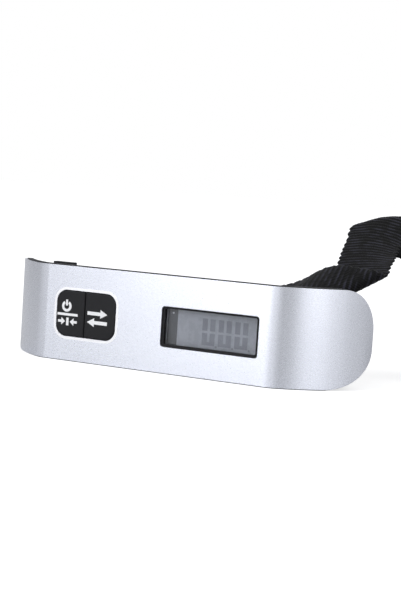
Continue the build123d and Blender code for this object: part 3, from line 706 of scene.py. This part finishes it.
# ================= studio =================
YAW, PITCH, ROLL = 28.0, 4.5713, 3.7775     # degrees to the right, down, and of roll
CAMERA_AT = Vector((0.256605, -0.449603, 0.067472))
LENS = 89.2
FLOOR_HALF = 6.0
FLOOR_GLOW = 0.65           # lifts the floor to white for the eye alone
SKY_FULL, SKY_TINT = 3.2, (0.975, 0.985, 1.03)
SKY_ABOVE, SKY_BLEND = 0.75, (0.35, 0.8)
SKY_LEVELS = [              # compass direction in degrees, 0 in front of the face, and brightness
    (-180, 0.9), (-130, 0.4), (-104, 0.2), (-88, 0.28), (-66, 0.7), (-46, 0.85), (-34.5, 0.65),
    (-29, 2.9), (-24, 3.7), (-18, 2.7), (-8, 1.9), (0, 1.5), (10, 1.35), (20, 1.0), (30, 0.35),
    (39, 0.18), (45, 0.6), (51, 1.9), (62, 2.15), (76, 1.3), (90, 0.7), (110, 0.45), (150, 0.5),
    (180, 0.9),
]


def camera():
    """Camera at the photograph's viewing angle."""
    a, e, r = (math.radians(v) for v in (YAW, PITCH, ROLL))
    back = Vector((math.sin(a) * math.cos(e), -math.cos(a) * math.cos(e), math.sin(e)))
    right = Vector((math.cos(a), math.sin(a), 0))
    up = back.cross(right)
    tilted = right * math.cos(r) + up * math.sin(r)
    raised_up = up * math.cos(r) - right * math.sin(r)
    data = bpy.data.cameras.new("camera")
    data.lens = LENS
    data.clip_start = 0.01
    eye = bpy.data.objects.new("camera", data)
    turn = Matrix((tilted, raised_up, back)).transposed().to_4x4()
    eye.matrix_world = Matrix.Translation(CAMERA_AT) @ turn
    bpy.context.scene.collection.objects.link(eye)
    bpy.context.scene.camera = eye


def floor():
    """Plain pale floor."""
    mesh = bpy.data.meshes.new("floor")
    h = FLOOR_HALF
    mesh.from_pydata([(-h, -h, 0), (h, -h, 0), (h, h, 0), (-h, h, 0)], [], [(0, 1, 2, 3)])
    s = Shader("floor_pale", (0.62, 0.62, 0.625), 0.9)
    s.set(Specular_IOR_Level=0.0, Emission_Color=(1, 1, 1, 1))
    seen = s.node("ShaderNodeLightPath").outputs["Is Camera Ray"]
    s.link(s.ranged(seen, 0.0, FLOOR_GLOW, 0.0, 1.0), s.bsdf.inputs["Emission Strength"])
    mesh.materials.append(s.material)
    sheet = bpy.data.objects.new("floor", mesh)
    bpy.context.scene.collection.objects.link(sheet)


def sky():
    """Soft studio surround: brightness by compass direction, white to the eye."""
    world = bpy.data.worlds.new("studio")
    bpy.context.scene.world = world
    world.use_nodes = True
    tree = world.node_tree
    tree.nodes.clear()
    link = tree.links.new

    def node(kind, **inputs):
        made = tree.nodes.new(kind)
        for key, value in inputs.items():
            made.inputs[key.replace("_", " ")].default_value = value
        return made

    def mixed(share, first, second):
        made = node("ShaderNodeMixShader")
        for socket, source in zip(made.inputs, (share, first, second)):
            link(source, socket)
        return made.outputs[0]

    split = node("ShaderNodeSeparateXYZ")
    link(node("ShaderNodeTexCoord").outputs["Generated"], split.inputs["Vector"])
    flip = tree.nodes.new("ShaderNodeMath")
    flip.operation = "MULTIPLY"
    flip.inputs[1].default_value = -1.0
    link(split.outputs["Y"], flip.inputs[0])
    angle = tree.nodes.new("ShaderNodeMath")
    angle.operation = "ARCTAN2"
    link(split.outputs["X"], angle.inputs[0])
    link(flip.outputs[0], angle.inputs[1])
    turn = node("ShaderNodeMapRange", From_Min=-math.pi, From_Max=math.pi)
    link(angle.outputs[0], turn.inputs["Value"])

    ramp = node("ShaderNodeValToRGB")
    ramp.color_ramp.interpolation = "EASE"
    stops = ramp.color_ramp.elements
    stops[0].position, stops[1].position = 0.0, 1.0
    for degrees, _ in SKY_LEVELS[1:-1]:
        stops.new((degrees + 180) / 360)
    for stop, (_, level) in zip(stops, SKY_LEVELS):
        stop.color = (*(level / SKY_FULL * channel for channel in SKY_TINT), 1)
    link(turn.outputs["Result"], ramp.inputs["Fac"])

    side = node("ShaderNodeBackground", Strength=SKY_FULL)
    link(ramp.outputs["Color"], side.inputs["Color"])
    above = node("ShaderNodeBackground", Color=(0.98, 0.99, 1.0, 1), Strength=SKY_ABOVE)
    white = node("ShaderNodeBackground", Color=(1, 1, 1, 1), Strength=1.0)
    height = node("ShaderNodeMapRange", From_Min=SKY_BLEND[0], From_Max=SKY_BLEND[1])
    height.interpolation_type = "SMOOTHSTEP"
    link(split.outputs["Z"], height.inputs["Value"])
    blend = mixed(height.outputs["Result"], side.outputs[0], above.outputs[0])
    seen = node("ShaderNodeLightPath").outputs["Is Camera Ray"]
    out = node("ShaderNodeOutputWorld")
    link(mixed(seen, blend, white.outputs[0]), out.inputs["Surface"])


def lamp(name, place, aim, size, watts):
    """Square area lamp turned towards a point."""
    data = bpy.data.lights.new(name, "AREA")
    data.size = size
    data.energy = watts
    light = bpy.data.objects.new(name, data)
    light.location = place
    light.rotation_euler = (Vector(aim) - Vector(place)).to_track_quat("-Z", "Y").to_euler()
    bpy.context.scene.collection.objects.link(light)


def studio():
    camera()
    floor()
    sky()
    lamp("key_light", place=(-0.5, -0.9, 1.1), aim=(0, 0, 0.02), size=0.8, watts=4.0)
    lamp("fill_light", place=(0.9, -0.3, 0.7), aim=(0.03, 0.03, 0.03), size=0.6, watts=1.0)
    view = bpy.context.scene.view_settings
    view.view_transform = "Standard"
    view.look = "None"


# ================= build =================
studio()
dress_frame()
strap_piece, strap_length = strap_mesh()
thread_piece = stitching()
key_symbols()
display_marks()
opening_edges()
